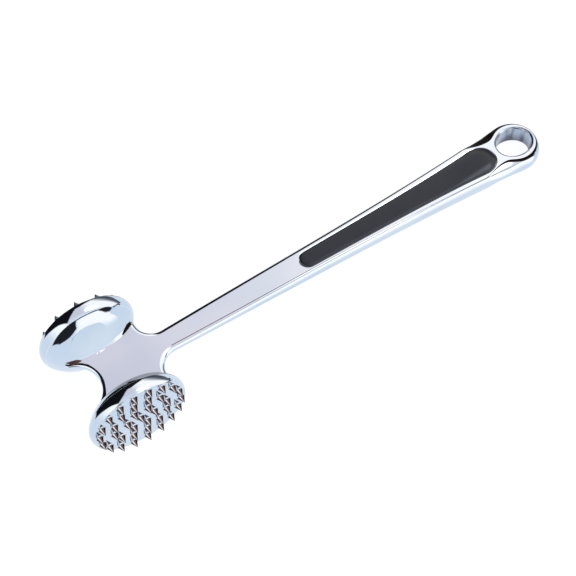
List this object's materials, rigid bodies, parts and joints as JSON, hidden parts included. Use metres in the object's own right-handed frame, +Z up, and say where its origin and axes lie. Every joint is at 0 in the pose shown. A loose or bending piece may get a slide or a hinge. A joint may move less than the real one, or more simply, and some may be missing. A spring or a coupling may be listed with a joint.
{
  "type": "meat mallet",
  "caption": "Double-headed meat mallet with a fine and a coarse toothed head, tapering chromed handle with soft grip inlays, and a hanging ring.",
  "frame": {"origin": "on the table, under the middle of the mallet's bounding box, with the mallet lying on both head rims and the back of its ring", "axes": "+X along the handle from the heads to the ring, +Y from the fine head to the coarse head, +Z up out of the table"},
  "size_m": [0.2446, 0.0546, 0.0436],
  "materials": {
    "chromed_casting": "bright chrome plating on a die-cast zinc body",
    "chromed_teeth": "bright chrome plating on die-cast toothed heads",
    "soft_grip": "charcoal soft-touch rubber with a fine matte grain"
  },
  "bodies": {
    "root": {"neck_and_handle_casting": "chromed_casting", "fine_toothed_head": "chromed_teeth", "coarse_toothed_head": "chromed_teeth", "front_grip_inlay": "soft_grip", "back_grip_inlay": "soft_grip"}
  },
  "joints": []
}
